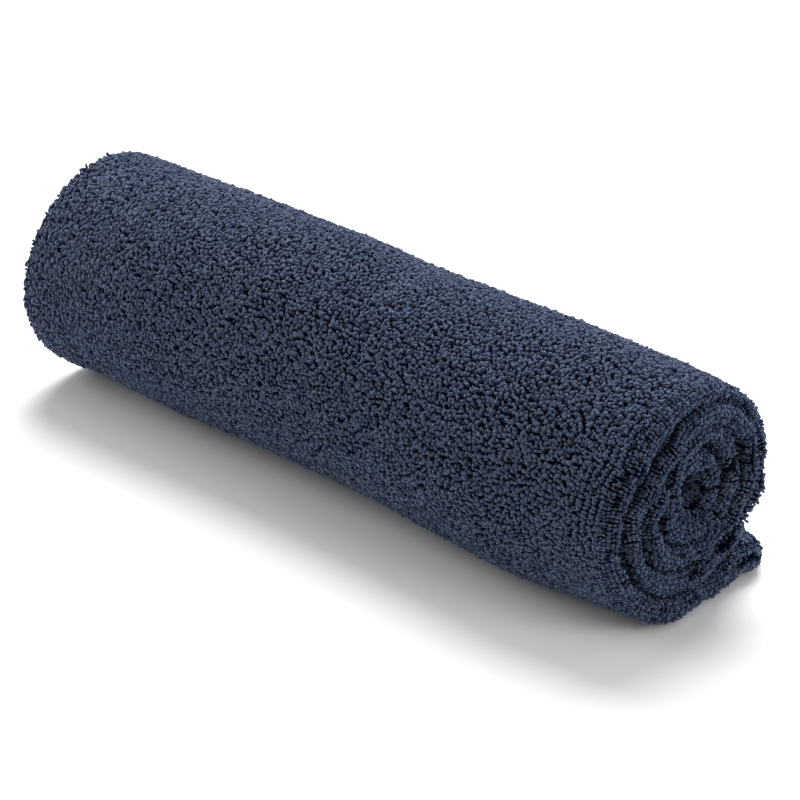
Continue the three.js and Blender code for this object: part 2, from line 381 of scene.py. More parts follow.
class RolledCloth:
    """The doubled cloth as it lies rolled up, in millimetres.

    "turn" counts along the winding, and is a small minus number along the loose end. "across" is a
    share of the doubled cloth, from its outer side to its inner side. "reach" is how far a place on the
    cloth is from the fold, minus on the outer ply and plus on the inner ply.
    """

    def __init__(self, sizes):
        self.length = sizes.roll_length / MM
        self.radius = sizes.outer_radius / MM
        self.pitch = sizes.turn_pitch / MM
        self.loose = sizes.loose_end / MM
        self.thickness = sizes.cloth_thickness / MM
        self.pile = sizes.pile_height / MM
        self.fold_radius = self.pitch * PLY_SHARE
        self.fold_arc = math.pi * self.fold_radius
        self.inset = self.thickness / 2 + self.pile
        self.edge_turn = LOOSE_EDGE_TURN * (1 - self.inset * HEM_INSET / self.loose)
        turns = np.linspace(self.edge_turn, LAST_TURN, WINDING_SAMPLES)
        y, z = self.band(turns, 0.5 - PLY_SHARE, np.zeros_like(turns))
        steps = np.hypot(np.diff(y), np.diff(z))
        self.turns = turns
        self.lengths = np.concatenate([[0], np.cumsum(steps)])

    def turn_at(self, length):
        return np.interp(length, self.lengths, self.turns)

    def even_radius(self, turn):
        tight = self.radius - self.pitch * TIGHT_AFTER
        wound = tight * np.exp(-self.pitch * (turn - TIGHT_AFTER) / tight)
        return np.where(turn <= TIGHT_AFTER, self.radius - self.pitch * turn, wound)

    def relief(self, turn, x):
        """The outermost turn's own unevenness, fading inwards."""
        around = turn * FULL_TURN * self.radius
        height = UNEVEN * ripple(x, around, UNEVEN_LENGTH, seed=4)
        for at_x, at_turn, long, wide, deep in zip(*CREASES.values()):
            off = ((x - at_x) / long) ** 2 + ((turn - at_turn) / wide) ** 2
            height = height - deep * np.exp(-off)
        return height * np.clip(RELIEF_ENDS - turn, 0, 1)

    def winding(self, turn, x):
        """The outer side of the winding, as y and z."""
        angle = LEAVE_ANGLE - turn * FULL_TURN
        share = x / self.length + 0.5
        plain = self.even_radius(turn)
        radius = plain + smooth_read(SETTLED, "turn", "change", turn)
        for around, change, spread in zip(*AROUND.values()):
            away = (angle - math.radians(around)) / FULL_TURN
            away = (away - np.round(away)) * FULL_TURN / math.radians(spread)
            radius = radius + change * np.exp(-away * away) * plain / self.radius
        radius = (radius + self.relief(turn, x)) * smooth_read(ALONG, "share", "girth", share)
        factor = np.where(np.sin(angle) > 0, TOP_FACTOR, BOTTOM_FACTOR)
        y = AXIS_Y + smooth_read(ALONG, "share", "aside", share) + radius * np.cos(angle)
        z = AXIS_Z + smooth_read(ALONG, "share", "up", share) + factor * radius * np.sin(angle)
        return y, np.maximum(z, 0)

    def apart(self, turn):
        """Half the gap between two turns, at the winding's outer side."""
        off = (turn[..., None] - APART["turn"]) / APART["spread"]
        return 0.5 * (APART["gap"] * np.exp(-off * off)).sum(axis=-1)

    def loose_side(self, turn, x, on_top):
        """The loose end's upper side or its underside, as y and z."""
        out = turn / LOOSE_EDGE_TURN
        start, _ = self.winding(np.zeros_like(turn), x)
        drawn = 0.0
        for side, drawn_in, length in zip(*CORNERS.values()):
            drawn = drawn + drawn_in * np.clip(1 - (self.length / 2 - side * x) / length, 0, None) ** 2
        y = start + out * (self.loose - drawn)
        if not on_top:
            return y, np.zeros_like(y)
        z = smooth_read(LOOSE_TOP, "out", "height", out) * self.pitch
        root_y, root_z = self.winding(np.ones_like(turn), x)
        share = np.clip(out / LOOSE_TOP["out"][0], 0, 1)
        return root_y + share * (y - root_y), root_z + share * (z - root_z)

    def band(self, turn, across, x):
        """A point of the doubled cloth, on the roll or on the loose end."""
        turn, across, x = np.broadcast_arrays(*(np.asarray(value, float) for value in (turn, across, x)))
        wound = np.maximum(turn, 0)
        outer_y, outer_z = self.winding(wound, x)
        inner_y, inner_z = self.winding(wound + 1, x)
        span_y, span_z = inner_y - outer_y, inner_z - outer_z
        thick = np.maximum(np.hypot(span_y, span_z), THINNEST)
        low = self.apart(wound) / thick
        high = 1 - self.apart(wound + 1) / thick
        share = low + across * (high - low)
        y, z = outer_y + share * span_y, outer_z + share * span_z
        loose = np.minimum(turn, 0)
        under_y, under_z = self.loose_side(loose, x, on_top=False)
        top_y, top_z = self.loose_side(loose, x, on_top=True)
        flat_y = under_y + across * (top_y - under_y)
        flat_z = under_z + across * (top_z - under_z)
        return np.where(turn < 0, flat_y, y), np.where(turn < 0, flat_z, z)

    def fold_x(self, turn):
        """Where the fold's arc starts, short of the near end."""
        back = smooth_read(NEAR_END, "turn", "back", turn)
        sway = CREST_SWAY * ripple(turn, 0.0, CREST_LENGTH, seed=17)
        return self.length / 2 - back - self.inset - self.fold_radius - sway

    def hem_reach(self, turn):
        """How far the far hem is from the fold, along the cloth."""
        hem_x = -self.length / 2 + smooth_read(FAR_END, "turn", "back", turn) + self.inset * HEM_INSET
        return self.fold_arc / 2 + self.fold_x(turn) - hem_x

    def middle(self, turn, reach):
        """A point half way through the cloth's own thickness, as rows of x, y and z."""
        turn, reach = np.broadcast_arrays(np.asarray(turn, float), np.asarray(reach, float))
        around = np.clip(reach / self.fold_arc, -0.5, 0.5) * math.pi
        beyond = np.maximum(np.abs(reach) - self.fold_arc / 2, 0)
        x = self.fold_x(turn) + self.fold_radius * np.cos(around) - beyond
        across = 0.5 + PLY_SHARE * np.sin(around)
        y, z = self.band(turn, across, x)
        return np.stack([x, y, z], axis=-1)

    def axes(self, turn, reach):
        """A point of the cloth's middle, and its own directions there: along its reach, along its
        winding, and outwards."""
        here = self.middle(turn, reach)
        along_reach = unit(self.middle(turn, reach + AXES_STEP) - here)
        radius = np.maximum(self.even_radius(np.maximum(turn, 0)), SMALLEST_RADIUS)
        turn_step = AXES_STEP / (FULL_TURN * radius)
        stretch = self.middle(turn + turn_step, reach) - self.middle(turn - turn_step, reach)
        along_turn = unit(stretch)
        return here, along_reach, along_turn, unit(np.cross(along_reach, along_turn))


class Socket:
    """A shader socket with arithmetic: an expression on sockets adds its Math nodes."""

    def __init__(self, nodes, output):
        self.nodes, self.output = nodes, output

    def _math(self, operation, first, second, clamp=False):
        settings = {"operation": operation, "use_clamp": clamp}
        return self.nodes.add("ShaderNodeMath", settings, {0: first, 1: second})

    def __add__(self, other):
        return self._math("ADD", self, other)

    def __sub__(self, other):
        return self._math("SUBTRACT", self, other)

    def __mul__(self, other):
        return self._math("MULTIPLY", self, other)

    def __pow__(self, other):
        return self._math("POWER", self, other)

    __radd__ = __add__

    def clamped(self):
        return self._math("ADD", self, 0.0, clamp=True)


class Nodes:
    """One material's node tree, where every node comes from add."""

    def __init__(self, name):
        old = bpy.data.materials.get(name)
        if old:
            bpy.data.materials.remove(old)
        self.material = bpy.data.materials.new(name)
        self.material.use_nodes = True
        self.tree = self.material.node_tree
        self.tree.nodes.clear()

    def add(self, kind, settings=None, values=None, output=0):
        node = self.tree.nodes.new(kind)
        for name, value in (settings or {}).items():
            setattr(node, name, value)
        for name, value in (values or {}).items():
            if isinstance(value, Socket):
                self.tree.links.new(value.output, node.inputs[name])
            else:
                node.inputs[name].default_value = value
        return Socket(self, node.outputs[output]) if node.outputs else None

    def attribute(self, name):
        return self.add("ShaderNodeAttribute", {"attribute_name": name}, output="Fac")

    def mix(self, factor, first, second):
        values = {"Factor": factor, MIX_FIRST: first, MIX_SECOND: second}
        return self.add("ShaderNodeMix", {"data_type": "RGBA"}, values, output=MIX_RESULT)

    def noise(self, coordinates, scale, detail=3.0):
        values = {"Vector": coordinates, "Scale": scale, "Detail": detail}
        return self.add("ShaderNodeTexNoise", {"noise_dimensions": "3D"}, values, output="Fac")

    def bump(self, height, strength, distance):
        values = {"Strength": strength, "Distance": distance, "Height": height}
        return self.add("ShaderNodeBump", None, values)

    def finish(self, values):
        """The material, once its one shader has these values."""
        shader = self.add("ShaderNodeBsdfPrincipled", None, values)
        self.add("ShaderNodeOutputMaterial", None, {"Surface": shader})
        return self.material


def with_alpha(colour):
    return (*colour, 1.0)


def pile_material(finish):
    """Soft matt yarn: painted shade dark down the loops and on low loops, paler tips, each loop its own
    tone.
    """
    nodes = Nodes("looped_pile")
    place = nodes.add("ShaderNodeTexCoord", output="Object")
    height = nodes.attribute("loop_height")
    tone = nodes.attribute("loop_tone")
    patches = nodes.noise(place, PATCH_SCALE)
    fibres = nodes.noise(place, FIBRE_SCALE)
    mottled = nodes.noise(place, MOTTLED_SCALE, detail=2.0) - 0.5
    own = LIT + tone * TONE_SHARE + mottled * MOTTLED_SHARE
    lit = (height**LIT_POWER * own + patches * PATCH_SHARE - LIT_FROM).clamped()
    # Painted shade: the side shade colour low on each loop, and the ground's shade colour on low loops.
    standing = nodes.mix(lit, with_alpha(finish.side_shade_colour), with_alpha(finish.loop_colour))
    colour = nodes.mix(nodes.attribute("loop_stand"), with_alpha(finish.ground_shade_colour), standing)
    return nodes.finish({
        "Base Color": colour, "Roughness": 0.9, "Specular IOR Level": 0.08,
        "Sheen Weight": finish.sheen, "Sheen Roughness": 0.28,
        "Sheen Tint": with_alpha(finish.sheen_colour), "Normal": nodes.bump(fibres, 0.9, 0.0004),
    })


def cloth_material(finish):
    """The ground of the cloth, painted near-black as shade, seen only down between the loops and the
    turns.
    """
    nodes = Nodes("ground_cloth")
    grain = nodes.noise(nodes.add("ShaderNodeTexCoord", output="Object"), GRAIN_SCALE)
    dark, pale = with_alpha(finish.ground_shade_colour), with_alpha(finish.side_shade_colour)
    return nodes.finish({
        "Base Color": nodes.mix(grain * GRAIN_SHARE, dark, pale), "Roughness": 0.95,
        "Specular IOR Level": 0.02, "Normal": nodes.bump(grain, 0.8, 0.0003),
    })


def floor_material(stage):
    colour = with_alpha(stage.floor_colour)
    return Nodes("pale_floor").finish(
        {"Base Color": colour, "Roughness": 0.8, "Specular IOR Level": 0.2}
    )


class TowelSizes(bpy.types.PropertyGroup):
    roll_length: bpy.props.FloatProperty(
        name="Roll length", description="Length of the roll, which is half the cloth's width",
        default=FRAME_HIGH[0] - FRAME_LOW[0], unit="LENGTH",
    )
    outer_radius: bpy.props.FloatProperty(
        name="Outer radius", description="Radius of the winding where the loose end leaves it",
        default=31.6 * MM, unit="LENGTH",
    )
    turn_pitch: bpy.props.FloatProperty(
        name="Turn pitch", description="Thickness that one turn of the doubled cloth takes",
        default=6.9 * MM, unit="LENGTH",
    )
    loose_end: bpy.props.FloatProperty(
        name="Loose end", description="How far the loose end reaches along the floor",
        default=25 * MM, unit="LENGTH",
    )
    cloth_side: bpy.props.FloatProperty(
        name="Cloth side", description="Side of the square cloth as it was cut",
        default=400 * MM, unit="LENGTH",
    )
    cloth_thickness: bpy.props.FloatProperty(
        name="Cloth thickness", description="Thickness of the ground cloth without its loops",
        default=1.2 * MM, unit="LENGTH",
    )
    pile_height: bpy.props.FloatProperty(
        name="Pile height", description="How far the loops stand up from the ground cloth",
        default=1.1 * MM, unit="LENGTH",
    )
    loop_spacing: bpy.props.FloatProperty(
        name="Loop spacing", description="Distance between neighbouring loops",
        default=0.9 * MM, unit="LENGTH",
    )
    loop_length: bpy.props.FloatProperty(
        name="Loop length", description="Length of a loop's top, seen from above",
        default=1.36 * MM, unit="LENGTH",
    )
    loop_width: bpy.props.FloatProperty(
        name="Loop width", description="Width of a loop's top, seen from above",
        default=0.93 * MM, unit="LENGTH",
    )


# The loops' own colour and sheen, with the colours of the painted shade.
class TowelColoursAndShade(bpy.types.PropertyGroup):
    loop_colour: bpy.props.FloatVectorProperty(
        name="Loop colour", description="Colour of the loops' tips", subtype="COLOR",
        default=(0.089, 0.108, 0.144), min=0, max=1,
    )
    # Painted shade: the colour down each loop's sides, where shade falls between the loops.
    side_shade_colour: bpy.props.FloatVectorProperty(
        name="Deep colour", description="Colour down the sides of the loops", subtype="COLOR",
        default=(0.0118, 0.0272, 0.077), min=0, max=1,
    )
    # Painted shade: the ground cloth is near-black for the shade down between the loops and the turns.
    ground_shade_colour: bpy.props.FloatVectorProperty(
        name="Ground colour", description="Colour of the ground cloth", subtype="COLOR",
        default=(0.0008, 0.0016, 0.0054), min=0, max=1,
    )
    sheen: bpy.props.FloatProperty(
        name="Sheen", description="How much the fine fibres catch grazing light",
        default=0.75, min=0, max=1,
    )
    sheen_colour: bpy.props.FloatVectorProperty(
        name="Sheen colour", description="Colour of the light that the fibres catch", subtype="COLOR",
        default=(0.45, 0.61, 0.94), min=0, max=1,
    )


class TowelStage(bpy.types.PropertyGroup):
    floor_colour: bpy.props.FloatVectorProperty(
        name="Floor colour", description="Colour of the plain floor", subtype="COLOR",
        default=(0.86, 0.86, 0.86), min=0, max=1,
    )
    surround: bpy.props.FloatProperty(
        name="Surround", description="Strength of the even light from all around", default=0.51, min=0,
    )
    key_power: bpy.props.FloatProperty(
        name="Key light", description="Power of the large soft light overhead",
        default=38.0, min=0, unit="POWER",
    )
    fill_power: bpy.props.FloatProperty(
        name="Fill light", description="Power of the soft light to the left",
        default=5.2, min=0, unit="POWER",
    )
    end_power: bpy.props.FloatProperty(
        name="End light", description="Power of the soft light on the folded end",
        default=6.2, min=0, unit="POWER",
    )
    view_azimuth: bpy.props.FloatProperty(
        name="View azimuth", description="The camera's turn about the object", default=math.radians(45),
        subtype="ANGLE",
    )
    view_elevation: bpy.props.FloatProperty(
        name="View elevation", description="The camera's height as an angle", default=math.radians(25.4),
        subtype="ANGLE",
    )
    view_distance: bpy.props.FloatProperty(
        name="View distance", description="Distance from the camera to the object",
        default=0.88, unit="LENGTH",
    )
    view_lens: bpy.props.FloatProperty(
        name="Lens", description="Focal length of the camera", default=163.9, unit="CAMERA",
    )
    view_aside: bpy.props.FloatProperty(
        name="View aside", description="How far the camera's aim lies to its right", default=3.49 * MM,
        unit="LENGTH",
    )
    view_up: bpy.props.FloatProperty(
        name="View up", description="How far the camera's aim lies above the object's origin",
        default=17.54 * MM, unit="LENGTH",
    )


def deselect():
    if bpy.context.object and bpy.context.object.mode != "OBJECT":
        bpy.ops.object.mode_set(mode="OBJECT")
    bpy.ops.object.select_all(action="DESELECT")


def make_active(obj):
    deselect()
    obj.select_set(True)
    bpy.context.view_layer.objects.active = obj


def mesh_object(name, points, faces, uv, material):
    """A smooth mesh object from points in millimetres, with one map that follows the flat cloth."""
    old = bpy.data.objects.get(name)
    if old:
        bpy.data.objects.remove(old)
    mesh = bpy.data.meshes.new(name)
    sides = faces.shape[1]
    mesh.vertices.add(len(points))
    mesh.vertices.foreach_set("co", (points * MM).astype(np.float32).ravel())
    mesh.loops.add(faces.size)
    mesh.loops.foreach_set("vertex_index", faces.astype(np.int32).ravel())
    mesh.polygons.add(len(faces))
    mesh.polygons.foreach_set("loop_start", np.arange(0, faces.size, sides, dtype=np.int32))
    mesh.update(calc_edges=True)
    layer = mesh.uv_layers.new(name="flat_cloth")
    layer.uv.foreach_set("vector", uv[faces.ravel()].astype(np.float32).ravel())
    mesh.materials.append(material)
    obj = bpy.data.objects.new(name, mesh)
    bpy.context.scene.collection.objects.link(obj)
    make_active(obj)
    bpy.ops.object.shade_smooth()
    return obj


def loop_template():
    """One loop of yarn, modelled once: a short twisted bean whose two ends droop to the cloth."""
    deselect()
    bpy.ops.mesh.primitive_uv_sphere_add(segments=3, ring_count=3, radius=1.0, location=(0, 0, 0))
    obj = bpy.context.object
    mesh = obj.data
    bpy.ops.object.mode_set(mode="EDIT")
    bpy.ops.mesh.select_all(action="SELECT")
    bpy.ops.transform.rotate(value=math.pi / 2, orient_axis="Y", center_override=(0, 0, 0))
    bpy.ops.object.mode_set(mode="OBJECT")
    for vertex in mesh.vertices:
        vertex.select = vertex.co.x > 0
    bpy.ops.object.mode_set(mode="EDIT")
    bpy.ops.transform.rotate(value=math.pi / 3, orient_axis="X", center_override=(0, 0, 0))
    bpy.ops.mesh.select_all(action="SELECT")
    bpy.ops.mesh.convex_hull(use_existing_faces=False, join_triangles=False)
    bpy.ops.transform.rotate(value=math.pi / 6, orient_axis="X", center_override=(0, 0, 0))
    bpy.ops.transform.resize(value=(1, 1, LOOP_FLATTENED), center_override=(0, 0, 0))
    bpy.ops.transform.translate(value=(0, 0, LOOP_RAISED))
    bpy.ops.mesh.normals_make_consistent(inside=False)
    bpy.ops.object.mode_set(mode="OBJECT")
    points = np.array([vertex.co[:] for vertex in mesh.vertices])
    faces = np.array([polygon.vertices[:] for polygon in mesh.polygons])
    bpy.data.objects.remove(obj)
    bpy.data.meshes.remove(mesh)
    points[np.abs(points[:, 0]) > TIP_FROM, 2] = END_DROOP
    points[:, 2] = 1 - (1 - points[:, 2].clip(0, 1)) ** BLUNT
    return points, faces


def pick(places, mask):
    return {name: values[mask] for name, values in places.items()}


def joined(*groups):
    return {name: np.concatenate([group[name] for group in groups]) for name in groups[0]}


def places_at(turn, reach, over=0.0, stretch=1.0, heading=0.0, tall=1.0, broad=1.0, soft=0.0, neat=0.0):
    """Places of loops, as one array for each measure: where each stands, how far it leans over the
    cloth's edge, how much longer than usual it is, where its long side points, how much taller and
    broader than usual it is, how far it is brushed softer with lighter painted shade, and how
    straight it stands."""
    values = np.broadcast_arrays(turn, reach, over, stretch, heading, tall, broad, soft, neat)
    names = "turn reach over stretch heading tall broad soft neat".split()
    return {name: np.array(value, float).ravel() for name, value in zip(names, values)}


class Pile:
    """Works out where the loops stand on one rolled cloth."""

    def __init__(self, cloth, sizes, draw):
        self.cloth, self.draw = cloth, draw
        self.spacing = sizes.loop_spacing / MM
        self.long_side = sizes.loop_length / MM

    def sway(self, amount, shape):
        return self.draw.normal(0, amount, shape)

    def face_rows(self):
        """Slanting rows over the whole outer face of the cloth, where they can be seen."""
        cloth, space, draw = self.cloth, self.spacing, self.draw
        farthest = cloth.hem_reach(np.linspace(cloth.edge_turn, LAST_TURN, HEM_SAMPLES)).max()
        margin = abs(ROW_SLANT) * farthest
        reaches = np.arange(-farthest, farthest, space * ROW_PITCH)
        lengths = np.arange(-margin, cloth.lengths[-1] + margin, space)
        length, reach = np.meshgrid(lengths, reaches, indexing="ij")
        row = np.broadcast_to(np.arange(len(reaches)), length.shape)
        beyond = np.abs(reach) - STRAIGHT_NEAR_FOLD
        beyond = (beyond + np.hypot(beyond, STRAIGHT_NEAR_FOLD / 2)) / 2
        length = length + ROW_SLANT * beyond * np.sign(reach)
        keep = (length > EDGE_CLEAR) & (length < cloth.lengths[-1])
        length, reach, row = length[keep], reach[keep], row[keep]
        bent = length + WANDER * ripple(length, reach, WANDER_LENGTH, seed=7)
        shifted = reach + WANDER * ripple(length, reach, WANDER_LENGTH, seed=8)
        opened = self.opened(cloth.turn_at(bent), reach)
        shifted = shifted + np.where(row % 2, OPEN_SHIFT, -OPEN_SHIFT) * space * opened
        bent = bent + row % 2 * space / 2 * (1 - opened)
        shifted = self.parted(cloth.turn_at(bent), shifted)
        jitter = JITTER * space * (1 - OPEN_STEADY * opened)
        bent = bent + self.sway(1, bent.shape) * jitter
        shifted = shifted + self.sway(1, bent.shape) * jitter
        turn = cloth.turn_at(bent)
        hem = cloth.hem_reach(turn)
        away = np.abs(shifted) - cloth.fold_arc / 2
        seen = (away < NEAR_DEPTH) | (np.abs(shifted) > hem - FAR_DEPTH)
        seen |= np.where(shifted < 0, turn < UNDER_ROLL, turn < UNDER_LOOSE)
        seen &= (away > space * RIBS_CLEAR) & (np.abs(shifted) < hem - EDGE_CLEAR)
        seen &= bent > EDGE_CLEAR
        seen &= draw.random(len(turn)) < self.crowding(turn, shifted) * CROWDED
        under = (turn < UNDERSIDE_TURN) & (shifted < 0)
        worn = self.worn(turn, shifted)
        seen &= draw.random(len(turn)) < np.where(under, UNDERSIDE_SHARE, 1 - WORN_THIN * worn)
        bent, turn, shifted, opened, under, worn = (
            each[seen] for each in (bent, turn, shifted, opened, under, worn)
        )
        heading = self.lay(bent, turn, shifted) * (1 - OPEN_NEAT * opened)
        sunk = draw.random(len(turn)) < SUNK_SHARE
        tall = np.where(sunk, SUNK_HEIGHT, 1.0) * (1 - WORN_LOW_SHADED * worn)
        soft = self.softness_and_lighter_shade(shifted)
        longer = np.where(under, UNDERSIDE_STRETCH, 1 + SOFT_STRETCH * soft - OPEN_SHORTER * opened)
        broader = np.where(under, UNDERSIDE_STRETCH, 1)
        return places_at(turn, shifted, 0, longer, heading, tall, broader, soft, OPEN_NEAT * opened)

    def softness_and_lighter_shade(self, reach):
        """How far the pile is brushed softer, with lighter painted shade, towards the far end."""
        x = self.cloth.length / 2 - np.abs(reach)
        return np.clip((SOFT_FROM - x) / SOFT_OVER, 0, 1)

    def parted(self, turn, reach):
        """Pushes loops aside where the pile stands parted."""
        for at, middle, long, wide, _ in zip(*PARTED.values()):
            off = (reach - middle) / wide
            near = np.exp(-off * off - ((turn - at) / long) ** 2)
            reach = reach + PUSHED_ASIDE * wide * np.sign(off) * near
        return reach

    def worn(self, turn, reach):
        """How far the pile is pressed low by wear and painted with shade, from 0 to 1."""
        worn = np.zeros_like(turn)
        for at, middle, long, wide, depth in zip(*PARTED.values()):
            away = ((turn - at) / long) ** 2 + ((reach - middle) / wide) ** 2
            worn = np.maximum(worn, depth * np.exp(-away * away))
        for at, gap, spread in zip(*APART.values()):
            for side, turns_out in ((-1, 0), (1, 1)):
                beside = np.clip(side * reach - GAP_FROM, 0, 1) * (np.abs(reach) < GAP_DEPTH)
                away = (turn + turns_out - at) / spread
                worn = np.maximum(worn, GAP_WORN_SHADED * gap * beside * np.exp(-away * away))
        return np.minimum(worn, 1)

    def opened(self, turn, reach):
        """How far the rows stand open in pairs, from 0 to 1."""
        beside = np.clip((np.abs(reach) - self.cloth.fold_arc / 2) / OPEN_DEPTH, 0, 1)
        open_rows = zip(*OPEN_ROWS.values())
        around = sum(share * np.exp(-((turn - at) / spread) ** 2) for at, spread, share in open_rows)
        waves = ripple(turn * TURN_LENGTH, reach * OPEN_ACROSS, OPEN_LENGTH, seed=27)
        uneven = OPEN_EVEN + OPEN_UNEVEN * waves
        return around * uneven.clip(0, 1) * (1 - beside**2) * (beside > 0)

    def lay(self, length, turn, reach):
        """Where each loop's long side points, as an angle off the way across the winding."""
        sway = ripple(length, reach, LAY_LENGTH, seed=9)
        soft = self.softness_and_lighter_shade(reach)
        rise = np.clip((turn - WINDING_FROM) / WINDING_OVER, 0, 1) * (turn < 1)
        share = LAY_WINDING + LAY_CHANGE * rise + LAY_CHANGE * soft + LAY_MIXED * sway
        along_rows = math.atan(ROW_SLANT) + LAY_SWAY * sway
        along_winding = math.pi / 2 + LAY_SWAY * sway
        chosen = np.where(self.draw.random(len(turn)) < share, along_winding, along_rows)
        return chosen + self.sway(LAY_SPREAD, len(turn)) * (1 - SOFT_EVEN * soft)

    def crowding(self, turn, reach):
        """How long the cloth's winding is here, as a share of the outer ply's at the same turn."""
        step = 1e-4
        moved = self.cloth.middle(turn + step, reach) - self.cloth.middle(turn - step, reach)
        even = np.interp(turn, self.cloth.turns, np.gradient(self.cloth.lengths, self.cloth.turns))
        return np.linalg.norm(moved, axis=1) / (2 * step * even)

    def fold_rows(self):
        """Narrow loops close together round the folded edge, as ribs that cross each band of it."""
        cloth, draw = self.cloth, self.draw
        lengths = np.arange(ROW_START, cloth.lengths[-1], RIB_PITCH)
        lengths = lengths + RIB_GROUPED * ripple(lengths, 0.0, RIB_GROUP, seed=23)
        rib_tall = 1 + self.sway(RIB_UNEVEN, lengths.shape)
        rib_chance = draw.random(len(lengths)) / RIB_CROWDED
        rows = []
        for angle in FOLD_ROWS:
            length = lengths + RIB_SWAY * ripple(
                lengths, angle / RIB_SWAY_ANGLE, RIB_SWAY_LENGTH, seed=13
            )
            turn = cloth.turn_at(length)
            reach = (angle + self.sway(RIB_SPREAD, lengths.shape)) / 180 * cloth.fold_arc
            keep = rib_chance < self.crowding(turn, reach)
            worn = self.worn(turn, reach)
            keep &= draw.random(len(turn)) > WORN_THIN * worn
            inner = (turn > 1) | (angle > 0)
            steep = max(abs(angle) - GROOVE_FROM, 0) / (FOLD_ROWS[-1] - GROOVE_FROM)
            slits = ripple(length * SLITS_STRETCH, reach * SLITS_ACROSS, SLITS_LENGTH, seed=19)
            slits = slits / SLITS_WIDE
            tall = rib_tall * (1 - SLITS_DEEP * np.exp(-slits * slits)) * (1 - WORN_LOW_SHADED * worn)
            tall = tall * (1 - GROOVE_LOW * steep**GROOVE_POWER * inner)
            tall = tall * (1 + self.sway(RIB_LUMPY, tall.shape))
            sunk = draw.random(len(turn)) < RIB_SUNK
            tall = np.where(sunk, RIB_SUNK_HEIGHT, 1) * tall.clip(*RIB_HEIGHTS)
            tall = np.where(draw.random(len(turn)) < SPECKLED * worn, SPECK_HEIGHT, tall)
            rows.append(
                places_at(
                    turn[keep], self.parted(turn, reach)[keep], stretch=RIB_LOOP / self.long_side,
                    heading=self.sway(RIB_TURNED, keep.sum()), tall=tall[keep], broad=RIB_WIDTH,
                    neat=RIB_NEAT,
                )
            )
        return joined(*rows)

    def hem_rows(self):
        """Loops that wrap round the far hem of each ply, and stand on its inner face."""
        cloth, space = self.cloth, self.spacing
        lengths = np.arange(ROW_START, cloth.lengths[-1], space * HEM_PITCH)
        depths = np.arange(INSIDE_FROM, INSIDE_DEPTH, space)
        overs = [(angle, -HEM_BACK) for angle in EDGE_ANGLES]
        overs += [(TURNED_OVER, -depth) for depth in depths]
        rows = []
        for ply in (-1, 1):
            for over, behind in overs:
                length = lengths + self.sway(JITTER * space, lengths.shape)
                turn = cloth.turn_at(length)
                reach = ply * (cloth.hem_reach(turn) + behind)
                keep = self.draw.random(len(turn)) < self.crowding(turn, reach) * CROWDED
                turned = self.sway(LAY_SPREAD, keep.sum())
                tufts = ripple(length[keep], ply * TUFTS_APART, TUFT_LENGTH, seed=21).clip(0, 1)
                tall = HEM_HEIGHT + TUFT_HEIGHT * tufts * (over < TURNED_OVER)
                rows.append(
                    places_at(
                        turn[keep], reach[keep], math.radians(over), HEM_STRETCH, turned, tall, soft=1.0
                    )
                )
        return joined(*rows)

    def edge_rows(self):
        """Loops round the short edge of each ply, where the loose end stops."""
        cloth, space = self.cloth, self.spacing
        rows = []
        for ply in (-1, 1):
            hem = cloth.hem_reach(cloth.edge_turn)
            across = np.arange(cloth.fold_arc / 2, hem, space)
            for over in EDGE_ANGLES:
                reach = ply * (across + self.sway(JITTER * space, across.shape))
                turned = math.pi / 2 + self.sway(LAY_SPREAD, across.shape)
                turn = cloth.edge_turn + EDGE_INSIDE
                rows.append(places_at(turn, reach, -math.radians(over), EDGE_STRETCH, turned))
        return joined(*rows)

    def pieces(self):
        """All the places, shared out over the named pieces."""
        everywhere = joined(self.face_rows(), self.fold_rows(), self.hem_rows(), self.edge_rows())
        turn, reach = everywhere["turn"], everywhere["reach"]
        hem = self.cloth.hem_reach(turn)
        x = self.cloth.middle(turn, reach)[:, 0]
        loose = turn < 0
        near = ~loose & (np.abs(reach) < self.cloth.fold_arc / 2 + NEAR_DEPTH)
        inward = (turn > 1) | (reach > 0) | (everywhere["over"] != 0)
        far = ~loose & ~near & (np.abs(reach) > hem - FAR_DEPTH - FAR_OVERLAP) & inward
        rest = ~loose & ~near & ~far
        zone = (x / self.cloth.length + 0.5) * len(SIDE_ZONES)
        zone = zone.clip(0, len(SIDE_ZONES) - 1).astype(int)
        masks = {"loose_end_pile": loose, "near_end_pile": near, "far_end_pile": far}
        for number, word in enumerate(SIDE_ZONES):
            masks[f"side_pile_{word}"] = rest & (zone == number)
        return {name: pick(everywhere, mask) for name, mask in masks.items()}


